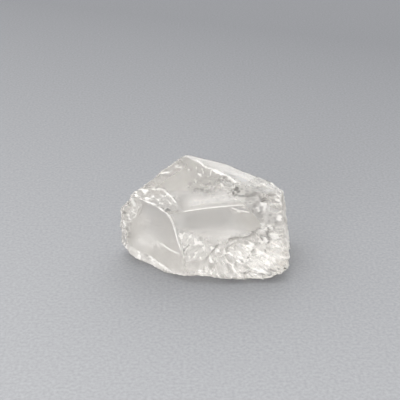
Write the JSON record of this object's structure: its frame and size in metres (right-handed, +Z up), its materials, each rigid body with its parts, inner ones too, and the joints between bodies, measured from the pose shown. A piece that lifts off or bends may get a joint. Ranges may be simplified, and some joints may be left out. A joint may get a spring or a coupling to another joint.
{
  "type": "topaz crystal",
  "caption": "Rough colourless crystal lying on its side: flat glassy faces, a smooth hollow at one end, a broken swelling, and a small flat spot to rest on.",
  "frame": {"origin": "on the surface that the crystal rests on, under the middle of its bounding box", "axes": "+X along the crystal's length towards the broken end, +Y away from the large front face, +Z up"},
  "size_m": [0.0276, 0.0178, 0.0151],
  "materials": {
    "clear_topaz": "water-clear, glassy on the flat faces, frosty where broken"
  },
  "bodies": {
    "root": {"topaz_crystal": "clear_topaz"}
  },
  "joints": []
}
